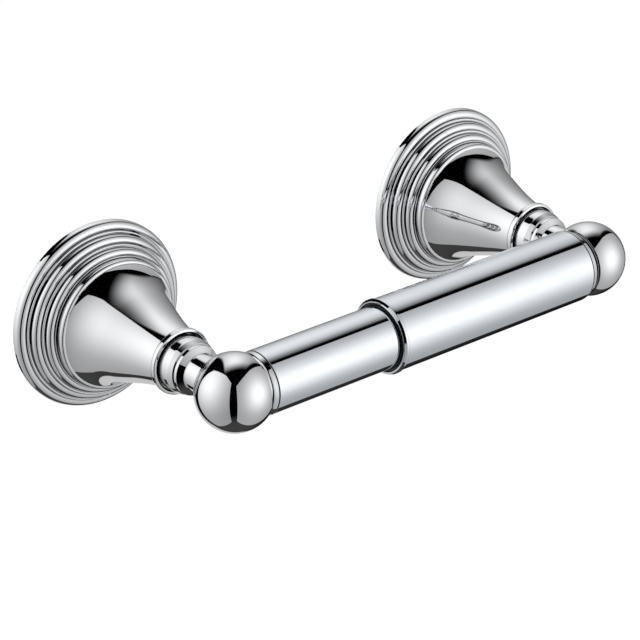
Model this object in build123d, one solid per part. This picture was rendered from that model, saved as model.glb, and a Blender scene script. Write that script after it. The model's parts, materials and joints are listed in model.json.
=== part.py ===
from build123d import *
import os

os.makedirs("parts", exist_ok=True)

# Double-post toilet paper holder with a spring-loaded telescopic roller.
# Units are millimetres. X runs along the roller, +Y points into the wall and +Z is up.
# The origin lies on the wall plane, midway between the posts, level with their axes.
# A post's pieces are drawn about local Z, which is the height above the wall.
# The roller's pieces are drawn about X and then moved out from the wall.

# ---- driving dimensions: posts ----
POST_SPACING = 160.0        # between the two post axes
ROLLER_HEIGHT = 76.9        # roller axis above the wall

RIM_R = 33.5                # widest step of the flange
RIM_TOP = 3.6
MIDDLE_STEP_R = 29.5
MIDDLE_STEP_TOP = 7.2
UPPER_STEP_R = 26.0
UPPER_STEP_TOP = 10.4
RIM_ROUND = 2.4             # outer rounding of each step
MIDDLE_STEP_ROUND = 2.0
UPPER_STEP_ROUND = 1.8
QUIRK_WIDTH = 1.1           # small ledge at the foot of the two upper steps
QUIRK_HEIGHT = 0.9
QUIRK_ROUND = 0.45
EDGE_ROUND = 0.25           # edges that touch the wall
FLANGE_WALL = 2.3
STEP_BACK = 1.6             # thickness behind each step's flat
HOLLOW_ROUND = 0.3          # inner corners of the hollow
BELL_SEAT_R = 23.9          # raised seat that the bell stands on
BELL_SEAT = 10.9
WEB_BACK = 8.4              # rear face of the flange's web
WEB_ROUND = 0.5

BELL_FOOT_R = 23.3          # bead round the bell's foot
BELL_FOOT_TOP = 13.8
BELL_FOOT_ROUND = 1.3
BELL_FLARE_R = 21.9         # where the flare meets the bead
BELL_WAIST = (15.6, 27.0)   # radius and height halfway along the flare
BELL_TIP = (10.4, 46.6)
BELL_WALL = 1.6
LINING_FOOT = 11.7          # height at which the inside of the flare starts
COLLAR_R = 11.5             # ring at the bell's small end
COLLAR_FOOT = 47.3
COLLAR_FOOT_ROUND = 0.5
COLLAR_SIDE_TOP = 48.9      # where the ring's side meets its outer bevel
COLLAR_FACE = (11.0, 10.65) # outer and inner radius of the ring's narrow face
COLLAR_TOP = 49.3
COLLAR_RECESS_R = 10.1      # recess inside the ring, entered by an inner bevel
COLLAR_RECESS_TOP = 48.7
COLLAR_FLOOR = 47.6
SPIGOT_R = 8.0              # neck's stub inside the bell
SPIGOT_FOOT = 44.0
SPIGOT_PLAY = 0.05

BARREL_FOOT_R = 8.8         # rounded barrel of the neck, widest between its two shoulders
BARREL_R = 9.7
BARREL_SHOULDERS = (49.6, 53.6)
BARREL_ROUND = 1.8
BARREL_END = (9.0, 55.5)    # radius and height of its front edge, which a bevel follows
GROOVE = (8.5, 55.9)        # foot of that bevel
NECK_RING_R = 8.7           # narrow ring in front of the barrel
NECK_RING = (56.1, 57.2)
SHANK_R = 6.7
SHANK_FOOT = 58.8
SHANK_TOP = 65.45

BALL_R = 13.3
BALL_FLAT = 5.8             # flat towards the roller, from the ball's centre
BALL_BOSS_R = 11.4
BALL_BOSS = 6.3             # face of the thin boss on that flat
SOCKET_R = 4.0              # blind hole that holds the roller's tip
SOCKET_DEPTH = 7.0

# ---- driving dimensions: fixings ----
BRACKET_WIDTH = 24.0
BRACKET_HEIGHT = 37.0
BRACKET_THICKNESS = 7.0
BRACKET_CORNER = 3.0
BRACKET_TAPER = -10.0       # the edges lean outwards, so the set screw draws the flange in
BRACKET_BORE_R = 7.0        # room for the nut
SCREW_SPACING = 24.0        # wall screws, one above the other
SCREW_HOLE_R = 2.25
STUD_R = 2.95
STUD_FOOT = 1.6
STUD_TOP = 70.4
STUD_CHAMFER = 0.5
STUD_HOLE_R = 3.0
STUD_HOLE_TOP = 70.8        # bottom of the tapped hole in the ball
CLEARANCE_HOLE_R = 3.3
WASHER_R = 6.5
WASHER_HOLE_R = 3.1
WASHER_THICKNESS = 1.2
NUT_ACROSS_FLATS = 10.0
NUT_THICKNESS = 5.0
NUT_CORNER_R = 5.75         # radius that trims the nut's corners
NUT_CHAMFER = 0.7
SET_SCREW_R = 1.5
SET_SCREW_HOLE_R = 1.55
SET_SCREW_LEVEL = 5.4       # height of its axis above the wall
SET_SCREW_TIP = 19.6        # distance of its tip from the post axis
SET_SCREW_TAIL = 29.0
SET_SCREW_CHAMFER = 0.9
SET_SCREW_BOSS_R = 2.55
SET_SCREW_BOSS_START = 22.5 # distance of the boss from the post axis
SET_SCREW_BOSS_END = 27.5
SET_SCREW_BOSS_FLOOR = 2.2  # the boss is cut off flat above this height ...
SET_SCREW_BOSS_TOP = 6.9    # ... and below this one
SET_SCREW_KEY = 0.8         # half the width of its hexagon socket
SET_SCREW_KEY_DEPTH = 2.0

# ---- driving dimensions: roller ----
TUBE_WALL = 0.8
OUTER_TUBE_R = 12.9
OUTER_TUBE_MOUTH = -18.6    # open end of the outer tube
LIP_R = 13.3                # lip round that end, bevelled towards the mouth
LIP_WIDTH = 1.7
LIP_FACE_R = 12.65
LIP_BEVEL = 0.9
LIP_ROUND = 0.15
TUBE_ROUND = 0.15
TUBE_END = 70.0             # closed end of either tube, from the middle
INNER_TUBE_R = 11.05
INNER_TUBE_END = 10.0       # end of the inner tube inside the outer one
CAP_FACE = 73.4             # face of either end cap
CAP_BAND = 72.0             # widest part of a cap's rounded band ends here
CAP_BAND_DROP = 0.5         # how far the band has drawn in by then
CAP_FACE_DROP = 1.7         # and how far it has drawn in at the face
CAP_BAND_ROUND = 1.5
CAP_FACE_ROUND = 0.5
PLUG_LENGTH = 8.0           # part of a cap inside its tube
PLUG_WALL = 2.0
PLUG_ROUND = 0.3
PLUG_HOLLOW_ROUND = 1.0
TIP_R = 3.9
TIP_END = 79.2
TIP_ROUND = 1.2
BUSH_LENGTH = 8.0
BUSH_SETBACK = 0.9          # bush behind the mouth
BEARING_ROUND = 0.2
SLIDING_GAP = 0.08          # radial play of the telescopic fit
GUIDE_LENGTH = 4.0
SPRING_R = 11.15            # mean radius of the coils
SPRING_WIRE_R = 0.55
SPRING_TURNS = 9

# ---- worked out ----
OUTER_BORE_R = OUTER_TUBE_R - TUBE_WALL
INNER_BORE_R = INNER_TUBE_R - TUBE_WALL
SPRING_START = INNER_TUBE_END + SPRING_WIRE_R
SPRING_LENGTH = TUBE_END - PLUG_LENGTH - SPRING_WIRE_R - SPRING_START
SIDES = {"left": -1, "right": 1}


def rounded_outline(corners):
    """Closed face from (u, v, corner radius) triples; a radius of 0 leaves the corner sharp."""
    points = [(u, v) for u, v, _ in corners]
    radii = [radius for _, _, radius in corners]
    return make_face(FilletPolyline(*points, radius=radii, close=True))


def turned_on_post(corners):
    """Solid turned about a post's axis; each corner is (radius, height, rounding)."""
    return revolve(Plane.XZ * rounded_outline(corners), Axis.Z)


def turned_on_roller(corners):
    """Solid turned about the roller's axis; each corner is (x, radius, rounding)."""
    return revolve(rounded_outline(corners), Axis.X)


def post_cylinder(radius, low, high):
    return Pos(0, 0, low) * Cylinder(radius, high - low, align=(Align.CENTER, Align.CENTER, Align.MIN))


def downward_cylinder(radius, start, end):
    """Cylinder below the post's axis, along local -Y, at the set screw's level."""
    rod = Cylinder(radius, end - start, align=(Align.CENTER, Align.CENTER, Align.MIN))
    return Pos(0, -start, SET_SCREW_LEVEL) * Rot(90, 0, 0) * rod


# ---- pieces of a post ----
def wall_bracket():
    """Cast plate with outward-leaning edges, two screw holes and room for the nut."""
    plate = extrude(RectangleRounded(BRACKET_WIDTH, BRACKET_HEIGHT, BRACKET_CORNER), BRACKET_THICKNESS,
                    taper=BRACKET_TAPER)
    plate -= post_cylinder(BRACKET_BORE_R, -1, BRACKET_THICKNESS + 1)
    hole = post_cylinder(SCREW_HOLE_R, -1, BRACKET_THICKNESS + 1)
    for side in (-1, 1):
        plate -= Pos(0, side * SCREW_SPACING / 2, 0) * hole
    return plate


def flange():
    """Round stepped cover, hollow behind, with a web for the stud and a boss for the set screw."""
    middle_foot_r = MIDDLE_STEP_R + QUIRK_WIDTH
    upper_foot_r = UPPER_STEP_R + QUIRK_WIDTH
    rim_inner_r = RIM_R - FLANGE_WALL
    middle_inner_r = MIDDLE_STEP_R - FLANGE_WALL
    upper_inner_r = UPPER_STEP_R - FLANGE_WALL
    shell = turned_on_post([
        (RIM_R, 0, EDGE_ROUND),
        (RIM_R, RIM_TOP, RIM_ROUND),
        (middle_foot_r, RIM_TOP, 0),
        (middle_foot_r, RIM_TOP + QUIRK_HEIGHT, QUIRK_ROUND),
        (MIDDLE_STEP_R, RIM_TOP + QUIRK_HEIGHT, 0),
        (MIDDLE_STEP_R, MIDDLE_STEP_TOP, MIDDLE_STEP_ROUND),
        (upper_foot_r, MIDDLE_STEP_TOP, 0),
        (upper_foot_r, MIDDLE_STEP_TOP + QUIRK_HEIGHT, QUIRK_ROUND),
        (UPPER_STEP_R, MIDDLE_STEP_TOP + QUIRK_HEIGHT, 0),
        (UPPER_STEP_R, UPPER_STEP_TOP, UPPER_STEP_ROUND),
        (BELL_SEAT_R, UPPER_STEP_TOP, 0),
        (BELL_SEAT_R, BELL_SEAT, 0.15),
        (CLEARANCE_HOLE_R, BELL_SEAT, 0),
        (CLEARANCE_HOLE_R, WEB_BACK, 0),
        (upper_inner_r, WEB_BACK, WEB_ROUND),
        (upper_inner_r, MIDDLE_STEP_TOP - STEP_BACK, 0),
        (middle_inner_r, MIDDLE_STEP_TOP - STEP_BACK, HOLLOW_ROUND),
        (middle_inner_r, RIM_TOP - STEP_BACK, 0),
        (rim_inner_r, RIM_TOP - STEP_BACK, HOLLOW_ROUND),
        (rim_inner_r, 0, EDGE_ROUND),
    ])
    boss = downward_cylinder(SET_SCREW_BOSS_R, SET_SCREW_BOSS_START, SET_SCREW_BOSS_END)
    boss &= post_cylinder(RIM_R, SET_SCREW_BOSS_FLOOR, SET_SCREW_BOSS_TOP)
    return shell + boss - downward_cylinder(SET_SCREW_HOLE_R, SET_SCREW_TIP, RIM_R)


def bell():
    """Flared sleeve between the flange and the neck, with a foot bead and a ring at its small end."""
    lining_r = BELL_FLARE_R - BELL_WALL
    bore_r = SPIGOT_R + SPIGOT_PLAY
    overlap = 0.5
    outside = Spline((BELL_FLARE_R, BELL_FOOT_TOP), BELL_WAIST, BELL_TIP, tangents=[(-1, 1.1), (-0.12, 1)])
    inside = Spline((BELL_TIP[0] - BELL_WALL, SPIGOT_FOOT), (BELL_WAIST[0] - BELL_WALL, BELL_WAIST[1] - 0.6),
                    (lining_r, LINING_FOOT), tangents=[(0.15, -1), (1, -1.1)])
    top = Polyline(BELL_TIP, (bore_r, BELL_TIP[1]), (bore_r, SPIGOT_FOOT), inside @ 0)
    bottom = Polyline(inside @ 1, (lining_r, BELL_SEAT), (BELL_FLARE_R, BELL_SEAT), outside @ 0)
    shell = revolve(Plane.XZ * make_face([outside, top, inside, bottom]), Axis.Z)
    bead = turned_on_post([
        (BELL_FLARE_R - overlap, BELL_SEAT, 0),
        (BELL_FOOT_R, BELL_SEAT, 0.2),
        (BELL_FOOT_R, BELL_FOOT_TOP, BELL_FOOT_ROUND),
        (BELL_FLARE_R - overlap, BELL_FOOT_TOP, 0),
    ])
    collar = turned_on_post([
        (bore_r, BELL_TIP[1] - overlap, 0),
        (BELL_TIP[0] - 0.2, BELL_TIP[1] - overlap, 0),
        (BELL_TIP[0], COLLAR_FOOT, 0),
        (COLLAR_R, COLLAR_FOOT, COLLAR_FOOT_ROUND),
        (COLLAR_R, COLLAR_SIDE_TOP, 0.15),
        (COLLAR_FACE[0], COLLAR_TOP, 0.1),
        (COLLAR_FACE[1], COLLAR_TOP, 0.1),
        (COLLAR_RECESS_R, COLLAR_RECESS_TOP, 0.1),
        (COLLAR_RECESS_R, COLLAR_FLOOR, 0),
        (bore_r, COLLAR_FLOOR, 0),
    ])
    return shell + bead + collar


def neck():
    """Turned piece: a stub in the bell, a rounded barrel, a narrow ring and a slim shank to the ball."""
    return turned_on_post([
        (CLEARANCE_HOLE_R, SPIGOT_FOOT, 0),
        (SPIGOT_R, SPIGOT_FOOT, 0),
        (SPIGOT_R, COLLAR_FLOOR, 0),
        (BARREL_FOOT_R, COLLAR_FLOOR, 0),
        (BARREL_R, BARREL_SHOULDERS[0], BARREL_ROUND),
        (BARREL_R, BARREL_SHOULDERS[1], BARREL_ROUND),
        (BARREL_END[0], BARREL_END[1], 0.2),
        (GROOVE[0], GROOVE[1], 0),
        (NECK_RING_R, NECK_RING[0], 0.1),
        (NECK_RING_R, NECK_RING[1], 0.2),
        (SHANK_R, SHANK_FOOT, 0.2),
        (SHANK_R, SHANK_TOP, 0),
        (CLEARANCE_HOLE_R, SHANK_TOP, 0),
    ])


def ball(inward):
    """Ball with a seat for the neck, a tapped hole for the stud and a socket for the roller.

    inward is +1 or -1, the X direction in which the roller lies.
    """
    width = 2 * BALL_R
    below = ROLLER_HEIGHT - width
    sphere = Sphere(BALL_R) & Pos(-inward * BALL_R, 0, 0) * Box(2 * (BALL_R + BALL_FLAT), width, width)
    reach = Rot(0, 90 * inward, 0)
    boss = reach * post_cylinder(BALL_BOSS_R, BALL_FLAT - 1, BALL_BOSS)
    socket = reach * post_cylinder(SOCKET_R, BALL_BOSS - SOCKET_DEPTH, BALL_BOSS + 1)
    body = Pos(0, 0, ROLLER_HEIGHT) * (sphere + boss - socket)
    body -= post_cylinder(BALL_R, below, SHANK_TOP)
    return body - post_cylinder(STUD_HOLE_R, below, STUD_HOLE_TOP)


def tie_stud():
    """Threaded rod that pulls flange, bell, neck and ball together."""
    stud = post_cylinder(STUD_R, STUD_FOOT, STUD_TOP)
    return chamfer(stud.edges().filter_by(GeomType.CIRCLE), STUD_CHAMFER)


def stud_washer():
    ring = post_cylinder(WASHER_R, WEB_BACK - WASHER_THICKNESS, WEB_BACK)
    return ring - post_cylinder(WASHER_HOLE_R, 0, WEB_BACK + 1)


def stud_nut():
    """Hexagon nut with chamfered corners."""
    top = WEB_BACK - WASHER_THICKNESS
    hexagon = RegularPolygon(NUT_ACROSS_FLATS / 2, 6, major_radius=False)
    nut = Pos(0, 0, top - NUT_THICKNESS) * extrude(hexagon, NUT_THICKNESS)
    trim = post_cylinder(NUT_CORNER_R, top - NUT_THICKNESS, top)
    trim = chamfer(trim.edges().filter_by(GeomType.CIRCLE).sort_by(Axis.Z)[0], NUT_CHAMFER)
    return (nut & trim) - post_cylinder(STUD_HOLE_R, 0, WEB_BACK)


def set_screw():
    """Small headless screw with a hexagon socket, reached from below the flange."""
    body = downward_cylinder(SET_SCREW_R, SET_SCREW_TIP, SET_SCREW_TAIL)
    body = chamfer(body.edges().filter_by(GeomType.CIRCLE).sort_by(Axis.Y)[-1], SET_SCREW_CHAMFER)
    hexagon = extrude(RegularPolygon(SET_SCREW_KEY, 6, major_radius=False), SET_SCREW_KEY_DEPTH)
    return body - Pos(0, -SET_SCREW_TAIL, SET_SCREW_LEVEL) * Rot(-90, 0, 0) * hexagon


# ---- pieces of the roller ----
def outer_tube():
    """Wider tube, with a bevelled lip round its open end."""
    mouth = OUTER_TUBE_MOUTH
    return turned_on_roller([
        (mouth, OUTER_BORE_R, LIP_ROUND),
        (mouth, LIP_FACE_R, LIP_ROUND),
        (mouth + LIP_BEVEL, LIP_R, LIP_ROUND),
        (mouth + LIP_WIDTH, LIP_R, LIP_ROUND),
        (mouth + LIP_WIDTH, OUTER_TUBE_R, 0),
        (TUBE_END, OUTER_TUBE_R, TUBE_ROUND),
        (TUBE_END, OUTER_BORE_R, 0),
    ])


def inner_tube():
    """Narrower tube that slides into the outer one."""
    return turned_on_roller([
        (-TUBE_END, INNER_BORE_R, 0),
        (-TUBE_END, INNER_TUBE_R, TUBE_ROUND),
        (INNER_TUBE_END, INNER_TUBE_R, 0),
        (INNER_TUBE_END, INNER_BORE_R, 0),
    ])


def end_cap(tube_r, bore_r):
    """Cap for a tube's closed end: hollow plug, rounded band, face and the tip that enters the ball."""
    return turned_on_roller([
        (TUBE_END - PLUG_LENGTH, bore_r - PLUG_WALL, 0),
        (TUBE_END - PLUG_LENGTH, bore_r, PLUG_ROUND),
        (TUBE_END, bore_r, 0),
        (TUBE_END, tube_r - 0.1, 0.1),
        (CAP_BAND, tube_r - CAP_BAND_DROP, CAP_BAND_ROUND),
        (CAP_FACE, tube_r - CAP_FACE_DROP, CAP_FACE_ROUND),
        (CAP_FACE, TIP_R, 0),
        (TIP_END, TIP_R, TIP_ROUND),
        (TIP_END, 0, 0),
        (TUBE_END, 0, 0),
        (TUBE_END, bore_r - PLUG_WALL, PLUG_HOLLOW_ROUND),
    ])


def tube_mouth_bush():
    """Plastic bearing ring in the outer tube's mouth, on which the inner tube slides."""
    start = OUTER_TUBE_MOUTH + BUSH_SETBACK
    return turned_on_roller([
        (start, INNER_TUBE_R + SLIDING_GAP, BEARING_ROUND),
        (start, OUTER_BORE_R, 0),
        (start + BUSH_LENGTH, OUTER_BORE_R, 0),
        (start + BUSH_LENGTH, INNER_TUBE_R + SLIDING_GAP, BEARING_ROUND),
    ])


def guide_ring():
    """Plastic ring on the inner tube's hidden end, which slides in the outer tube."""
    start = INNER_TUBE_END - GUIDE_LENGTH
    return turned_on_roller([
        (start, INNER_TUBE_R, 0),
        (start, OUTER_BORE_R - SLIDING_GAP, BEARING_ROUND),
        (INNER_TUBE_END, OUTER_BORE_R - SLIDING_GAP, BEARING_ROUND),
        (INNER_TUBE_END, INNER_TUBE_R, 0),
    ])


def roller_spring():
    """Compression spring between the inner tube's end and the outer end cap."""
    coil_path = Helix(SPRING_LENGTH / SPRING_TURNS, SPRING_LENGTH, SPRING_R)
    section = Plane(coil_path @ 0, z_dir=coil_path % 0) * Circle(SPRING_WIRE_R)
    coil = sweep(section, path=coil_path, is_frenet=True)
    return Pos(SPRING_START, 0, 0) * Rot(0, 90, 0) * coil


# ---- assembly ----
def build_nodes():
    nodes = {}
    for name, side in SIDES.items():
        post = {
            "wall_bracket": wall_bracket(),
            "flange": flange(),
            "bell": bell(),
            "neck": neck(),
            "ball": ball(-side),
            "tie_stud": tie_stud(),
            "stud_washer": stud_washer(),
            "stud_nut": stud_nut(),
            "set_screw": set_screw(),
        }
        for piece, shape in post.items():
            nodes[f"{name}_{piece}"] = Pos(side * POST_SPACING / 2, 0, 0) * Rot(90, 0, 0) * shape

    roller = {
        "outer_tube": outer_tube(),
        "outer_end_cap": end_cap(OUTER_TUBE_R, OUTER_BORE_R),
        "tube_mouth_bush": tube_mouth_bush(),
        "roller_spring": roller_spring(),
        "inner_tube": inner_tube(),
        "inner_end_cap": Rot(0, 0, 180) * end_cap(INNER_TUBE_R, INNER_BORE_R),
        "guide_ring": guide_ring(),
    }
    for piece, shape in roller.items():
        nodes[piece] = Pos(0, -ROLLER_HEIGHT, 0) * shape
    return nodes


for node_name, solid in build_nodes().items():
    export_step(solid, f"parts/{node_name}.step")
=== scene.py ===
import json
import math

import bmesh
import bpy
from mathutils import Matrix, Vector, geometry


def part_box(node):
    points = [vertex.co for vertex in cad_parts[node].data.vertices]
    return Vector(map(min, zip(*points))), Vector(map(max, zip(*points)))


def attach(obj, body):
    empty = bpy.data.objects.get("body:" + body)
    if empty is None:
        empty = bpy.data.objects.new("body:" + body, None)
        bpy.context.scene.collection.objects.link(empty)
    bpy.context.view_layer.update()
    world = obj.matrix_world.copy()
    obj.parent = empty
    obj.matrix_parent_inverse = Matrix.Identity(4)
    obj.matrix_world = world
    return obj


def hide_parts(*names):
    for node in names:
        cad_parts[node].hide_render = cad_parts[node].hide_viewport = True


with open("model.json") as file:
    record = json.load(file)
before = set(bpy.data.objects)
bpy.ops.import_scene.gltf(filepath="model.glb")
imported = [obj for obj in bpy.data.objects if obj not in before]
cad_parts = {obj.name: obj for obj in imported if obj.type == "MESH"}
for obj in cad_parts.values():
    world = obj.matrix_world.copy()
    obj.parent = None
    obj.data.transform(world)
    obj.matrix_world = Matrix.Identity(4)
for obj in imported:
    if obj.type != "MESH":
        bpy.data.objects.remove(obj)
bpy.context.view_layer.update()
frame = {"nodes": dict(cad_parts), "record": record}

MM = 0.001
SIDES = ("left", "right")
SEGMENTS = 192              # round a turned piece
FINE_SEGMENTS = 384         # round a wide piece whose steps mirror each other
ARC_STEP = math.radians(9)  # largest turn between two points of a rounded corner
SHARP = math.radians(32)    # edges that turn by more than this stay sharp


# ---- places and main sizes, in millimetres, from the frame ----
def middle(node):
    low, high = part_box(node)
    return (low + high) / 2 / MM


def span(node):
    low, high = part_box(node)
    return (high - low) / MM


POST_X = {side: middle(f"{side}_flange").x for side in SIDES}
ROLLER_HEIGHT = -middle("outer_tube").y
RIM_R = span("left_flange").x / 2
BELL_SEAT = span("left_flange").y
BELL_FOOT_R = span("left_bell").x / 2
COLLAR_TOP = BELL_SEAT + span("left_bell").y
BARREL_R = span("left_neck").x / 2
SHANK_TOP = -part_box("left_neck")[0].y / MM
SPIGOT_FOOT = -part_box("left_neck")[1].y / MM
BALL_R = span("left_ball").z / 2
BALL_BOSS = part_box("left_ball")[1].x / MM - POST_X["left"]
OUTER_LIP_R = span("outer_tube").z / 2
OUTER_TUBE_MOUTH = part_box("outer_tube")[0].x / MM
TUBE_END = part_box("outer_tube")[1].x / MM
INNER_TUBE_R = span("inner_tube").z / 2
INNER_TUBE_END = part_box("inner_tube")[1].x / MM
TIP_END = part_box("outer_end_cap")[1].x / MM
PLUG_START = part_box("outer_end_cap")[0].x / MM
BUSH_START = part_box("tube_mouth_bush")[0].x / MM
BUSH_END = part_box("tube_mouth_bush")[1].x / MM
SET_SCREW_LEVEL = -middle("left_set_screw").y

# ---- profile sizes that the frame's boxes don't give, in millimetres ----
RIM_TOP = 3.6
MIDDLE_STEP_R = 29.5
MIDDLE_STEP_TOP = 7.2
UPPER_STEP_R = 26.0
UPPER_STEP_TOP = 10.4
QUIRK_WIDTH = 1.1
QUIRK_HEIGHT = 0.9
QUIRK_ROUND = 0.45
RIM_ROUND = 2.4
MIDDLE_STEP_ROUND = 2.0
UPPER_STEP_ROUND = 1.8
WALL_EDGE_ROUND = 0.25      # edges of the flange that meet the wall
STEP_BACK = 1.6
FLANGE_WALL = 2.3
BELL_SEAT_R = 23.9
WEB_BACK = 8.4
WEB_ROUND = 0.5
STUD_HOLE_R = 3.3
BELL_FOOT_TOP = 13.8
BELL_FOOT_ROUND = 1.3
BELL_FLARE_R = 21.9
BELL_WAIST = (15.6, 27.0)
BELL_TIP = (10.4, 46.6)
BELL_FOOT_SLOPE = (-1, 1.1)
BELL_TIP_SLOPE = (-0.12, 1)
BELL_WALL = 1.6
LINING_START = 0.8          # height of the bell's inner curve above its seat
LINING_WAIST_DROP = 0.6     # how much lower than the outside the inner curve has its waist
LINING_TIP_SLOPE = (-0.15, 1)
COLLAR_R = 11.5
COLLAR_BACK_ROUND = 1.0
COLLAR_SIDE_TOP = 48.85
COLLAR_BEVEL = (11.25, 49.06)
COLLAR_TOP_R = 10.65
COLLAR_RECESS_R = 10.1
COLLAR_RECESS_TOP = 48.7
COLLAR_FLOOR = 47.6
SPIGOT_R = 8.0
SPIGOT_GAP = 0.05
BARREL_FOOT_R = 8.8
BARREL_SHOULDERS = (49.6, 53.6)
BARREL_ROUND = 1.8
BARREL_END = (9.0, 55.5)
GROOVE = (8.5, 55.9)
NECK_RING_R = 8.7
NECK_RING = (56.1, 57.2)
SHANK_R = 6.7
SHANK_FOOT = 58.8
BALL_FLAT = 5.8
BALL_BOSS_R = 11.4
SOCKET_R = 4.0
SOCKET_DEPTH = 7.0
NECK_ROOM_R = 9.0           # room cut into the ball for the neck's flat end
NECK_ROOM_START = 50.0      # where that cut starts, on the wall's side of the ball
OUTER_TUBE_R = 12.9
LIP_WIDTH = 1.7
LIP_FACE_R = 12.65
LIP_BEVEL = 0.9
TUBE_WALL = 0.8
CAP_GROOVE = 0.4            # fine groove where a cap meets its tube
CAP_EDGE_DROP = 0.1         # how far the cap's edge lies inside its tube's radius
CAP_SHOULDER_DROP = 0.5     # the same for its shoulder
CAP_FACE_DROP = 1.7         # the same for the rim of its face
CAP_SHOULDER = 2.0          # distance of the shoulder from the tube's end
CAP_SHOULDER_ROUND = 1.3
CAP_FACE = 73.4
CAP_FACE_ROUND = 0.5
PLUG_WALL = 2.0
PLUG_FLOOR_ROUND = 1.0
TIP_R = 3.9
TIP_ROUND = 1.2
SLIDING_GAP = 0.08
SET_SCREW_HOLE_R = 1.55
SET_SCREW_BOSS_R = 1.75
BOSS_START = 22.5           # inner end of the set screw's boss, from the post's axis
BOSS_OVERLAP = 0.2          # how far the boss runs into the flange's wall
DRILL_MARGIN = 1.0          # how far the set screw's hole is cut past the metal at both ends

# ---- edge roundings that several pieces share, in millimetres ----
CRISP = 0.1
EDGE = 0.15
EASED = 0.2
BLUNT = 0.3


# ---- outlines ----
def corner_arc(before, corner, after, radius):
    """Points of the arc that rounds a corner between two straight sides."""
    if radius == 0:
        return [corner]
    to_before = (before - corner).normalized()
    to_after = (after - corner).normalized()
    half = to_before.angle(to_after) / 2
    start = corner + to_before * (radius / math.tan(half))
    centre = corner + (to_before + to_after).normalized() * (radius / math.sin(half))
    sweep = to_before.angle_signed(to_after)
    turn = (math.pi - 2 * half) * (1 if sweep > 0 else -1)
    steps = max(2, math.ceil(abs(turn) / ARC_STEP))
    spoke = start - centre
    return [centre + Matrix.Rotation(turn * i / steps, 2) @ spoke for i in range(steps + 1)]


def with_supports(points, closed=True):
    """Adds points beside the ends of every long straight side, so that its shading stays flat."""
    margin, long_side = 0.12, 0.5
    result = []
    count = len(points) if closed else len(points) - 1
    for i in range(count):
        start, end = points[i], points[(i + 1) % len(points)]
        result.append(start)
        side = end - start
        if side.length > long_side:
            result.append(start + side.normalized() * margin)
            result.append(end - side.normalized() * margin)
    if not closed:
        result.append(points[-1])
    return result


def rounded(corners, closed=True):
    """Outline from (u, v, corner radius) triples; an open one starts and ends with a radius of 0."""
    points = []
    count = len(corners)
    for i in range(count):
        before, corner, after = (Vector(corners[(i + k) % count][:2]) for k in (-1, 0, 1))
        points += corner_arc(before, corner, after, corners[i][2])
    return with_supports(points, closed)


def flare(points, slopes, steps=28):
    """Smooth curve through three points, with the given directions at its two ends."""
    first, waist, tip = (Vector(point) for point in points)
    through = (tip - first).normalized()
    curve = []
    leaving, arriving = (Vector(slope).normalized() for slope in slopes)
    halves = ((first, waist, leaving, through), (waist, tip, through, arriving))
    for start, end, leave, arrive in halves:
        reach = (end - start).length / 3
        handles = (start + leave * reach, end - arrive * reach)
        curve += geometry.interpolate_bezier(start, *handles, end, steps)[:-1]
    return curve + [tip]


# ---- turned meshes ----
def on_post(side):
    """Maps (radius, height, angle) about a post's axis to the frame, in metres."""
    def place(radius, height, angle):
        return Vector((POST_X[side] + radius * math.cos(angle), -height, radius * math.sin(angle))) * MM
    return place


def on_roller(x, radius, angle):
    """Maps (x, radius, angle) about the roller's axis to the frame, in metres."""
    return Vector((x, -ROLLER_HEIGHT + radius * math.cos(angle), radius * math.sin(angle))) * MM


def turned(name, outline, place, radius_first=True, segments=SEGMENTS):
    """Closed mesh swept round an axis from a closed outline; points on the axis become one vertex."""
    mesh = bmesh.new()
    rings = []
    for u, v in outline:
        radius = u if radius_first else v
        if abs(radius) < 1e-6:
            rings.append([mesh.verts.new(place(u, v, 0.0))])
        else:
            angles = [math.tau * i / segments for i in range(segments)]
            rings.append([mesh.verts.new(place(u, v, angle)) for angle in angles])
    for ring, following in zip(rings, rings[1:] + rings[:1]):
        for i in range(segments):
            k = (i + 1) % segments
            loop = [
                ring[i % len(ring)],
                ring[k % len(ring)],
                following[k % len(following)],
                following[i % len(following)],
            ]
            corners = list(dict.fromkeys(loop))
            if len(corners) > 2:
                mesh.faces.new(corners)
    bmesh.ops.recalc_face_normals(mesh, faces=mesh.faces)
    data = bpy.data.meshes.new(name)
    mesh.to_mesh(data)
    mesh.free()
    piece = bpy.data.objects.new(name, data)
    bpy.context.scene.collection.objects.link(piece)
    smooth(piece)
    return piece


def smooth(piece):
    piece.data.shade_smooth()
    piece.data.set_sharp_from_angle(angle=SHARP)


def cut(piece, tool, operation="DIFFERENCE"):
    """Applies a boolean with a tool mesh and removes the tool."""
    modifier = piece.modifiers.new("cut", "BOOLEAN")
    modifier.operation = operation
    modifier.solver = "EXACT"
    modifier.object = tool
    depsgraph = bpy.context.evaluated_depsgraph_get()
    result = bpy.data.meshes.new_from_object(piece.evaluated_get(depsgraph))
    piece.modifiers.clear()
    piece.data = result
    bpy.data.objects.remove(tool)
    smooth(piece)


def rod(name, start, end, radius, segments=48):
    """Plain closed cylinder between two points in metres, used only as a boolean's tool."""
    mesh = bmesh.new()
    length = (end - start).length
    turn = (end - start).to_track_quat("Z", "Y").to_matrix().to_4x4()
    bmesh.ops.create_cone(
        mesh, cap_ends=True, segments=segments, radius1=radius, radius2=radius, depth=length,
        matrix=Matrix.Translation((start + end) / 2) @ turn,
    )
    data = bpy.data.meshes.new(name)
    mesh.to_mesh(data)
    mesh.free()
    tool = bpy.data.objects.new(name, data)
    bpy.context.scene.collection.objects.link(tool)
    return tool


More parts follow.
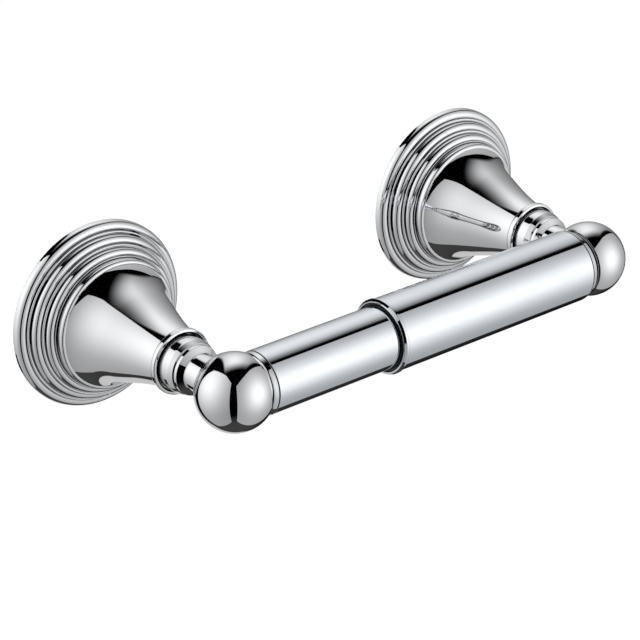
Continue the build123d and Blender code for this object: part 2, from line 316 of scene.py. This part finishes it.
# ---- pieces of a post ----
def flange_outline():
    """Three rounded steps with a quirk between them, the bell's seat, and a hollow stepped back."""
    middle_foot = MIDDLE_STEP_R + QUIRK_WIDTH
    upper_foot = UPPER_STEP_R + QUIRK_WIDTH
    rim_inner = RIM_R - FLANGE_WALL
    middle_inner = MIDDLE_STEP_R - FLANGE_WALL
    upper_inner = UPPER_STEP_R - FLANGE_WALL
    return rounded([
        (RIM_R, 0, WALL_EDGE_ROUND),
        (RIM_R, RIM_TOP, RIM_ROUND),
        (middle_foot, RIM_TOP, 0),
        (middle_foot, RIM_TOP + QUIRK_HEIGHT, QUIRK_ROUND),
        (MIDDLE_STEP_R, RIM_TOP + QUIRK_HEIGHT, 0),
        (MIDDLE_STEP_R, MIDDLE_STEP_TOP, MIDDLE_STEP_ROUND),
        (upper_foot, MIDDLE_STEP_TOP, 0),
        (upper_foot, MIDDLE_STEP_TOP + QUIRK_HEIGHT, QUIRK_ROUND),
        (UPPER_STEP_R, MIDDLE_STEP_TOP + QUIRK_HEIGHT, 0),
        (UPPER_STEP_R, UPPER_STEP_TOP, UPPER_STEP_ROUND),
        (BELL_SEAT_R, UPPER_STEP_TOP, 0),
        (BELL_SEAT_R, BELL_SEAT, EDGE),
        (STUD_HOLE_R, BELL_SEAT, 0),
        (STUD_HOLE_R, WEB_BACK, 0),
        (upper_inner, WEB_BACK, WEB_ROUND),
        (upper_inner, MIDDLE_STEP_TOP - STEP_BACK, 0),
        (middle_inner, MIDDLE_STEP_TOP - STEP_BACK, BLUNT),
        (middle_inner, RIM_TOP - STEP_BACK, 0),
        (rim_inner, RIM_TOP - STEP_BACK, BLUNT),
        (rim_inner, 0, WALL_EDGE_ROUND),
    ])


def below_axis(side, distance):
    """Point straight below a post's axis, level with the set screw, in metres."""
    return Vector((POST_X[side], -SET_SCREW_LEVEL, -distance)) * MM


def make_flange(side):
    """Stepped cover with a boss and a hole through it for the set screw."""
    piece = turned(f"{side}_flange_cover", flange_outline(), on_post(side), segments=FINE_SEGMENTS)
    boss_start = below_axis(side, BOSS_START)
    boss_end = below_axis(side, MIDDLE_STEP_R - FLANGE_WALL + BOSS_OVERLAP)
    cut(piece, rod("boss", boss_start, boss_end, SET_SCREW_BOSS_R * MM), "UNION")
    hole_start = below_axis(side, BOSS_START - DRILL_MARGIN)
    hole_end = below_axis(side, RIM_R + DRILL_MARGIN)
    cut(piece, rod("hole", hole_start, hole_end, SET_SCREW_HOLE_R * MM))
    return piece


def make_bell(side):
    """Flared sleeve with a bead at its foot and a collar with a sunk face at its small end."""
    lining_r = BELL_FLARE_R - BELL_WALL
    foot = rounded([
        (lining_r, BELL_SEAT, 0),
        (BELL_FOOT_R, BELL_SEAT, EASED),
        (BELL_FOOT_R, BELL_FOOT_TOP, BELL_FOOT_ROUND),
        (BELL_FLARE_R, BELL_FOOT_TOP, 0),
    ], closed=False)
    outside = flare(
        [(BELL_FLARE_R, BELL_FOOT_TOP), BELL_WAIST, BELL_TIP],
        [BELL_FOOT_SLOPE, BELL_TIP_SLOPE],
    )
    collar = rounded([
        (*BELL_TIP, 0),
        (COLLAR_R, BELL_TIP[1], COLLAR_BACK_ROUND),
        (COLLAR_R, COLLAR_SIDE_TOP, CRISP),
        (*COLLAR_BEVEL, 0),
        (COLLAR_TOP_R, COLLAR_TOP, EDGE),
        (COLLAR_RECESS_R, COLLAR_RECESS_TOP, CRISP),
        (COLLAR_RECESS_R, COLLAR_FLOOR, 0),
        (SPIGOT_R + SPIGOT_GAP, COLLAR_FLOOR, 0),
        (SPIGOT_R + SPIGOT_GAP, SPIGOT_FOOT, 0),
    ], closed=False)
    inside = flare(
        [
            (lining_r, BELL_SEAT + LINING_START),
            (BELL_WAIST[0] - BELL_WALL, BELL_WAIST[1] - LINING_WAIST_DROP),
            (BELL_TIP[0] - BELL_WALL, SPIGOT_FOOT),
        ],
        [BELL_FOOT_SLOPE, LINING_TIP_SLOPE],
    )
    outline = foot + outside[1:] + collar[1:] + inside[::-1]
    return turned(f"{side}_bell_shell", outline, on_post(side), segments=FINE_SEGMENTS)


def neck_outline():
    """Spigot inside the bell, rounded barrel, a ring, and a slim shank that ends in the ball."""
    return rounded([
        (STUD_HOLE_R, SPIGOT_FOOT, 0),
        (SPIGOT_R, SPIGOT_FOOT, 0),
        (SPIGOT_R, COLLAR_FLOOR, 0),
        (BARREL_FOOT_R, COLLAR_FLOOR, 0),
        (BARREL_R, BARREL_SHOULDERS[0], BARREL_ROUND),
        (BARREL_R, BARREL_SHOULDERS[1], BARREL_ROUND),
        (*BARREL_END, EASED),
        (*GROOVE, 0),
        (NECK_RING_R, NECK_RING[0], CRISP),
        (NECK_RING_R, NECK_RING[1], EASED),
        (SHANK_R, SHANK_FOOT, EASED),
        (SHANK_R, SHANK_TOP, 0),
        (STUD_HOLE_R, SHANK_TOP, 0),
    ])


def make_neck(side):
    return turned(f"{side}_neck_body", neck_outline(), on_post(side))


def make_ball(side):
    """Ball turned about the roller's axis, with a boss and socket, cut flat where the neck meets it."""
    inward = 1 if side == "left" else -1
    edge = math.acos(BALL_FLAT / BALL_R)
    steps = 60
    angles = [math.pi + (edge - math.pi) * i / steps for i in range(steps + 1)]
    sphere = [Vector((BALL_R * math.cos(angle), BALL_R * math.sin(angle))) for angle in angles]
    sphere[0].y = 0.0
    face = rounded([
        (BALL_FLAT, BALL_BOSS_R, 0),
        (BALL_BOSS, BALL_BOSS_R, EDGE),
        (BALL_BOSS, SOCKET_R, BLUNT),
        (BALL_BOSS - SOCKET_DEPTH, SOCKET_R, 0),
        (BALL_BOSS - SOCKET_DEPTH, 0, 0),
    ], closed=False)

    def place(x, radius, angle):
        return on_roller(POST_X[side] + inward * x, radius, angle)

    piece = turned(f"{side}_ball_end", sphere + face, place, radius_first=False)
    room_start = Vector((POST_X[side], -NECK_ROOM_START, 0)) * MM
    room_end = Vector((POST_X[side], -SHANK_TOP, 0)) * MM
    cut(piece, rod("room", room_start, room_end, NECK_ROOM_R * MM))
    return piece


# ---- pieces of the roller ----
def make_outer_tube():
    """Wider tube with a rolled, bevelled lip round its mouth."""
    mouth = OUTER_TUBE_MOUTH
    bore = OUTER_TUBE_R - TUBE_WALL
    outline = rounded([
        (mouth, bore, EDGE),
        (mouth, LIP_FACE_R, EDGE),
        (mouth + LIP_BEVEL, OUTER_LIP_R, EDGE),
        (mouth + LIP_WIDTH, OUTER_LIP_R, EDGE),
        (mouth + LIP_WIDTH, OUTER_TUBE_R, 0),
        (TUBE_END, OUTER_TUBE_R, EDGE),
        (TUBE_END, bore, 0),
    ])
    return turned("outer_tube_shell", outline, on_roller, radius_first=False)


def make_inner_tube():
    outline = rounded([
        (-TUBE_END, INNER_TUBE_R - TUBE_WALL, 0),
        (-TUBE_END, INNER_TUBE_R, EDGE),
        (INNER_TUBE_END, INNER_TUBE_R, EDGE),
        (INNER_TUBE_END, INNER_TUBE_R - TUBE_WALL, 0),
    ])
    return turned("inner_tube_shell", outline, on_roller, radius_first=False)


def make_end_cap(name, tube_r, way):
    """End cap for a tube that ends at way times TUBE_END."""
    bore = tube_r - TUBE_WALL
    outline = rounded([
        (PLUG_START, bore - PLUG_WALL, 0),
        (PLUG_START, bore, BLUNT),
        (TUBE_END, bore, 0),
        (TUBE_END, tube_r - CAP_GROOVE, 0),
        (TUBE_END + CAP_GROOVE, tube_r - CAP_GROOVE, 0),
        (TUBE_END + CAP_GROOVE, tube_r - CAP_EDGE_DROP, CRISP),
        (TUBE_END + CAP_SHOULDER, tube_r - CAP_SHOULDER_DROP, CAP_SHOULDER_ROUND),
        (CAP_FACE, tube_r - CAP_FACE_DROP, CAP_FACE_ROUND),
        (CAP_FACE, TIP_R, 0),
        (TIP_END, TIP_R, TIP_ROUND),
        (TIP_END, 0, 0),
        (TUBE_END, 0, 0),
        (TUBE_END, bore - PLUG_WALL, PLUG_FLOOR_ROUND),
    ])

    def place(x, radius, angle):
        return on_roller(way * x, radius, angle)

    return turned(name, outline, place, radius_first=False)


def make_bush():
    """Ring inside the outer tube's mouth, in which the inner tube slides."""
    bore = OUTER_TUBE_R - TUBE_WALL
    inner = INNER_TUBE_R + SLIDING_GAP
    outline = rounded([
        (BUSH_START, inner, EASED),
        (BUSH_START, bore, 0),
        (BUSH_END, bore, 0),
        (BUSH_END, inner, EASED),
    ])
    return turned("mouth_bush_ring", outline, on_roller, radius_first=False)


# ---- materials ----
NOISE_RANGE = (0.3, 0.7)    # noise values at the two ends of a material's range


def new_material(name):
    material = bpy.data.materials.new(name)
    material.use_nodes = True
    nodes = material.node_tree.nodes
    return material, nodes, material.node_tree.links, nodes["Principled BSDF"]


def noise(nodes, links, scale, detail=3.0, stretch=(1, 1, 1)):
    """Noise in object space; stretch above 1 along an axis packs the grain tighter there."""
    coordinates = nodes.new("ShaderNodeTexCoord")
    mapping = nodes.new("ShaderNodeMapping")
    mapping.inputs["Scale"].default_value = stretch
    texture = nodes.new("ShaderNodeTexNoise")
    texture.inputs["Scale"].default_value = scale
    texture.inputs["Detail"].default_value = detail
    links.new(coordinates.outputs["Object"], mapping.inputs["Vector"])
    links.new(mapping.outputs["Vector"], texture.inputs["Vector"])
    return texture.outputs["Fac"]


def remapped(nodes, links, factor, before, after):
    """Value that goes over the range after as the factor goes over the range before."""
    spread = nodes.new("ShaderNodeMapRange")
    sockets = ("From Min", "From Max", "To Min", "To Max")
    for socket, value in zip(sockets, (*before, *after)):
        spread.inputs[socket].default_value = value
    links.new(factor, spread.inputs["Value"])
    return spread.outputs["Result"]


def colour_between(nodes, links, factor, first, second):
    ramp = nodes.new("ShaderNodeValToRGB")
    for stop, position, colour in zip(ramp.color_ramp.elements, NOISE_RANGE, (first, second)):
        stop.position = position
        stop.color = (*colour, 1)
    links.new(factor, ramp.inputs["Fac"])
    return ramp.outputs["Color"]


def bump(nodes, links, shader, height, distance):
    node = nodes.new("ShaderNodeBump")
    node.inputs["Strength"].default_value = 1.0
    node.inputs["Distance"].default_value = distance
    links.new(height, node.inputs["Height"])
    links.new(node.outputs["Normal"], shader.inputs["Normal"])


def painted_crease_shade(nodes, links, colour):
    """Painted shade: darkens a colour in tight inner corners, as far as ambient occlusion finds them
    closed in.
    """
    reach = 1.0 * MM
    openness, shade_range = (0.55, 0.92), (0.03, 1.0)
    occlusion = nodes.new("ShaderNodeAmbientOcclusion")
    occlusion.samples = 8
    occlusion.inputs["Distance"].default_value = reach
    shade = remapped(nodes, links, occlusion.outputs["AO"], openness, shade_range)
    darken = nodes.new("ShaderNodeVectorMath")
    darken.operation = "MULTIPLY"
    links.new(colour, darken.inputs[0])
    links.new(shade, darken.inputs[1])
    return darken.outputs["Vector"]


def chrome(name, bright, dull, roughness, stretch=(1, 1, 1)):
    """Polished plate: mirror finish with a faint haze that varies over the surface, and painted shade
    in tight inner corners.
    """
    material, nodes, links, shader = new_material(name)
    shader.inputs["Metallic"].default_value = 1.0
    haze = noise(nodes, links, scale=60.0, detail=5.0, stretch=stretch)
    plate = colour_between(nodes, links, haze, bright, dull)
    # painted shade: the plate's colour is darkened in tight inner corners
    links.new(painted_crease_shade(nodes, links, plate), shader.inputs["Base Color"])
    links.new(remapped(nodes, links, haze, NOISE_RANGE, roughness), shader.inputs["Roughness"])
    return material


def metal(name, first, second, roughness, grain, depth):
    """Unpolished metal with visible grain."""
    material, nodes, links, shader = new_material(name)
    shader.inputs["Metallic"].default_value = 1.0
    fine = noise(nodes, links, scale=grain, detail=6.0)
    links.new(colour_between(nodes, links, fine, first, second), shader.inputs["Base Color"])
    links.new(remapped(nodes, links, fine, NOISE_RANGE, roughness), shader.inputs["Roughness"])
    bump(nodes, links, shader, fine, depth)
    return material


def plastic(name, first, second, roughness):
    """Moulded plastic with a fine satin texture."""
    material, nodes, links, shader = new_material(name)
    grain, depth = 900.0, 0.02 * MM
    fine = noise(nodes, links, scale=grain, detail=4.0)
    links.new(colour_between(nodes, links, fine, first, second), shader.inputs["Base Color"])
    links.new(remapped(nodes, links, fine, NOISE_RANGE, roughness), shader.inputs["Roughness"])
    bump(nodes, links, shader, fine, depth)
    return material


MATERIALS = {
    "polished_chrome": chrome(
        "polished_chrome", bright=(0.82, 0.825, 0.84), dull=(0.79, 0.795, 0.81),
        roughness=(0.012, 0.035)),
    "chromed_tube": chrome(
        "chromed_tube", bright=(0.78, 0.81, 0.85), dull=(0.75, 0.78, 0.82), roughness=(0.015, 0.04),
        stretch=(1, 8, 8)),
    "cast_zinc": metal(
        "cast_zinc", (0.42, 0.43, 0.45), (0.55, 0.56, 0.58), roughness=(0.4, 0.6), grain=700.0,
        depth=0.05 * MM),
    "zinc_plated_steel": metal(
        "zinc_plated_steel", (0.6, 0.6, 0.55), (0.68, 0.68, 0.66), roughness=(0.2, 0.35), grain=500.0,
        depth=0.01 * MM),
    "stainless_steel": metal(
        "stainless_steel", (0.5, 0.5, 0.51), (0.6, 0.6, 0.6), roughness=(0.25, 0.4), grain=900.0,
        depth=0.01 * MM),
    "spring_steel": metal(
        "spring_steel", (0.3, 0.3, 0.32), (0.42, 0.42, 0.44), roughness=(0.25, 0.4), grain=900.0,
        depth=0.01 * MM),
    "black_plastic": plastic(
        "black_plastic", (0.01, 0.01, 0.011), (0.02, 0.02, 0.022), roughness=(0.35, 0.5)),
    "white_plastic": plastic(
        "white_plastic", (0.8, 0.8, 0.77), (0.86, 0.86, 0.84), roughness=(0.4, 0.55)),
}


def finish_piece(piece, slot, body, *nodes):
    """Gives a rebuilt piece its material and its body, and hides the CAD nodes that it stands for."""
    piece.data.materials.clear()
    piece.data.materials.append(MATERIALS[slot])
    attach(piece, body)
    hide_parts(*nodes)


def finish_cad_nodes():
    """Every CAD node takes the material of its slot in the record."""
    for entry in frame["record"]["subparts"]:
        node = frame["nodes"][entry["node"]]
        node.data.materials.clear()
        node.data.materials.append(MATERIALS[entry["material_slot"]])


# ---- studio ----
class Maths:
    """Short calls for Math nodes in one node tree."""

    def __init__(self, tree):
        self.tree = tree

    def put(self, socket, value):
        if isinstance(value, bpy.types.NodeSocket):
            self.tree.links.new(value, socket)
        else:
            socket.default_value = value

    def __call__(self, operation, *values):
        node = self.tree.nodes.new("ShaderNodeMath")
        node.operation = operation
        for socket, value in zip(node.inputs, values):
            self.put(socket, value)
        return node.outputs[0]

    def dot(self, vector, direction):
        node = self.tree.nodes.new("ShaderNodeVectorMath")
        node.operation = "DOT_PRODUCT"
        self.tree.links.new(vector, node.inputs[0])
        node.inputs[1].default_value = direction
        return node.outputs["Value"]

    def step(self, value, edge, softness):
        """0 below the edge and 1 above it, over a soft band."""
        node = self.tree.nodes.new("ShaderNodeMapRange")
        node.interpolation_type = "SMOOTHSTEP"
        self.put(node.inputs["Value"], value)
        self.put(node.inputs["From Min"], edge - softness)
        self.put(node.inputs["From Max"], edge + softness)
        return node.outputs["Result"]

    def between(self, value, limits, softness):
        """1 between the two limits and 0 outside them, over soft edges."""
        rise = self.step(value, limits[0], softness)
        fall = self("SUBTRACT", 1.0, self.step(value, limits[1], softness))
        return self("MULTIPLY", rise, fall)

    def product(self, *values):
        result = values[0]
        for value in values[1:]:
            result = self("MULTIPLY", result, value)
        return result


def heading(azimuth, elevation=0.0):
    """Direction from azimuth and elevation in degrees; azimuth 0 is into the room, 90 is +X."""
    a, e = math.radians(azimuth), math.radians(elevation)
    return (math.sin(a) * math.cos(e), -math.cos(a) * math.cos(e), math.sin(e))


def on_panel(maths, ray, azimuth):
    """Whether a ray heads for an upright plane, and how far across and up it meets that plane."""
    least_depth, edge, soft = 0.001, 0.01, 0.005
    depth = maths.dot(ray, heading(azimuth))
    safe_depth = maths("MAXIMUM", depth, least_depth)
    across = maths("DIVIDE", maths.dot(ray, heading(azimuth + 90)), safe_depth)
    up = maths("DIVIDE", maths.dot(ray, (0, 0, 1)), safe_depth)
    return maths.step(depth, edge, soft), across, up


def side_panel(maths, ray, azimuth, width, height, corner_cut, hot_spot, levels, spread):
    """Tall diffuser panel facing the object, brightest round a hot spot."""
    soft, soft_foot = 0.02, 0.06
    slope, limit = corner_cut
    ahead, across, up = on_panel(maths, ray, azimuth)
    cut_line = maths("SUBTRACT", up, maths("MULTIPLY", across, slope))
    mask = maths.product(
        ahead,
        maths.between(across, width, soft),
        maths.step(up, height[0], soft_foot),
        maths("SUBTRACT", 1.0, maths.step(up, height[1], soft)),
        maths("SUBTRACT", 1.0, maths.step(cut_line, limit, soft)),
    )
    closeness = maths("SUBTRACT", maths.dot(ray, heading(*hot_spot)), 1.0)
    glow = maths("EXPONENT", maths("MULTIPLY", closeness, spread))
    level = maths("ADD", levels[0], maths("MULTIPLY", glow, levels[1]))
    return maths("MULTIPLY", mask, level)


def low_panel(maths, ray, azimuth, width, height, level):
    """Panel below and behind the object, seen only in its undersides."""
    soft = 0.06
    ahead, across, up = on_panel(maths, ray, azimuth)
    mask = maths.product(ahead, maths.between(across, width, soft), maths.between(up, height, soft))
    return maths("MULTIPLY", mask, level)


def tilt_towards(maths, ray, azimuth):
    """Angle of a ray above the horizon of one heading: 90 degrees is straight up, more is past it."""
    return maths("ARCTAN2", maths.dot(ray, (0, 0, 1)), maths.dot(ray, heading(azimuth)))


def back_glow(maths, ray, azimuth, far_azimuth, level):
    """Broad light above and behind the object, which fades out before the zenith."""
    centre, width = 0.08, 0.48
    edges, soft = (-0.43, 0.39), 0.04
    rise_at, rise_over = math.radians(6), math.radians(46)
    fall_at, fall_over = math.radians(74), math.radians(17)
    aside = maths.dot(ray, heading(azimuth + 90))
    off_centre = maths("DIVIDE", maths("SUBTRACT", aside, centre), width)
    spread = maths("EXPONENT", maths("MULTIPLY", maths("POWER", off_centre, 2.0), -1.0))
    rise = maths.step(tilt_towards(maths, ray, azimuth), rise_at, rise_over)
    top = maths.step(tilt_towards(maths, ray, far_azimuth), fall_at, fall_over)
    fall = maths("SUBTRACT", 1.0, top)
    return maths.product(rise, fall, spread, maths.between(aside, edges, soft), level)


def floor_glow(maths, ray, level):
    """Faint light from straight below."""
    edge, soft = -0.8, 0.2
    upward = maths.step(maths.dot(ray, (0, 0, 1)), edge, soft)
    return maths("MULTIPLY", maths("SUBTRACT", 1.0, upward), level)


def make_studio():
    """Dark studio with two tall diffusers, a low panel and a broad light behind.

    The object mirrors it; the camera and rough surfaces see plain white.
    """
    gain = 1.25
    plain_strength = 1.04
    world = bpy.data.worlds.new("studio")
    bpy.context.scene.world = world
    world.use_nodes = True
    tree = world.node_tree
    tree.nodes.clear()
    maths = Maths(tree)
    ray = tree.nodes.new("ShaderNodeTexCoord").outputs["Generated"]

    left = side_panel(
        maths, ray, azimuth=-108, width=(-1.15, 1.48), height=(-3.4, 2.3), corner_cut=(0.8, 2.15),
        hot_spot=(-128, 22), levels=(0.22, 0.80), spread=2.5,
    )
    right = side_panel(
        maths, ray, azimuth=28, width=(-1.66, 5.7), height=(-3.3, 1.85), corner_cut=(-0.25, 2.1),
        hot_spot=(33, 6), levels=(0.30, 0.78), spread=4.5,
    )
    top = back_glow(maths, ray, azimuth=136, far_azimuth=160, level=0.88)
    low = low_panel(maths, ray, azimuth=155, width=(-0.42, 0.5), height=(-1.75, -0.5), level=0.5)
    down = floor_glow(maths, ray, level=0.045)
    behind = maths("MAXIMUM", maths("MAXIMUM", top, low), down)
    total = maths("ADD", maths("MAXIMUM", left, right), behind)

    mirror = tree.nodes.new("ShaderNodeBackground")
    mirror.inputs["Color"].default_value = (1, 1, 1, 1)
    tree.links.new(maths("MULTIPLY", total, gain), mirror.inputs["Strength"])
    plain = tree.nodes.new("ShaderNodeBackground")
    plain.inputs["Color"].default_value = (1, 1, 1, 1)
    plain.inputs["Strength"].default_value = plain_strength
    path = tree.nodes.new("ShaderNodeLightPath")
    mix = tree.nodes.new("ShaderNodeMixShader")
    output = tree.nodes.new("ShaderNodeOutputWorld")
    tree.links.new(path.outputs["Is Glossy Ray"], mix.inputs["Fac"])
    tree.links.new(plain.outputs[0], mix.inputs[1])
    tree.links.new(mirror.outputs[0], mix.inputs[2])
    tree.links.new(mix.outputs[0], output.inputs["Surface"])


def make_floor():
    """Pale floor well below the wall-mounted object, kept out of its reflections."""
    depth, half = 0.5, 6.0
    mesh = bmesh.new()
    level = Matrix.Translation((0, 0, -depth))
    bmesh.ops.create_grid(mesh, x_segments=8, y_segments=8, size=half, matrix=level)
    data = bpy.data.meshes.new("floor")
    mesh.to_mesh(data)
    mesh.free()
    floor = bpy.data.objects.new("floor", data)
    bpy.context.scene.collection.objects.link(floor)
    material, nodes, links, shader = new_material("pale_floor")
    shade = noise(nodes, links, scale=3.0)
    colour = colour_between(nodes, links, shade, (0.97, 0.97, 0.97), (0.99, 0.99, 0.99))
    links.new(colour, shader.inputs["Base Color"])
    shader.inputs["Roughness"].default_value = 0.9
    shader.inputs["Specular IOR Level"].default_value = 0.0
    data.materials.append(material)
    floor.visible_glossy = False


def make_camera():
    """Camera above and to the left of the object, looking at a point just off its middle."""
    azimuth, elevation, distance = -39.9, 26.0, 0.8895
    across, above = 0.0136, 0.01006
    middle_point = Vector((0, -0.045, 0))
    back = Vector(heading(azimuth, elevation))
    right = Vector(heading(azimuth + 90))
    up = back.cross(right)
    place = middle_point + back * distance - right * across - up * above
    data = bpy.data.cameras.new("camera")
    data.sensor_width = 36.0
    data.lens = 144.3
    data.clip_start = 0.01
    camera = bpy.data.objects.new("camera", data)
    bpy.context.scene.collection.objects.link(camera)
    turn = Matrix((right, up, back)).transposed().to_4x4()
    camera.matrix_world = Matrix.Translation(place) @ turn
    bpy.context.scene.camera = camera


# ---- assembly ----
finish_cad_nodes()
for side in SIDES:
    finish_piece(make_flange(side), "polished_chrome", "posts", f"{side}_flange")
    finish_piece(make_bell(side), "polished_chrome", "posts", f"{side}_bell")
    finish_piece(make_neck(side), "polished_chrome", "posts", f"{side}_neck")
    finish_piece(make_ball(side), "polished_chrome", "posts", f"{side}_ball")
finish_piece(make_outer_tube(), "chromed_tube", "roller", "outer_tube")
outer_cap = make_end_cap("outer_cap_body", OUTER_TUBE_R, 1)
finish_piece(outer_cap, "polished_chrome", "roller", "outer_end_cap")
finish_piece(make_bush(), "black_plastic", "roller", "tube_mouth_bush")
finish_piece(make_inner_tube(), "chromed_tube", "inner_roller", "inner_tube")
inner_cap = make_end_cap("inner_cap_body", INNER_TUBE_R, -1)
finish_piece(inner_cap, "polished_chrome", "inner_roller", "inner_end_cap")

make_studio()
make_floor()
make_camera()
bpy.context.scene.view_settings.view_transform = "Standard"
bpy.context.scene.view_settings.look = "None"
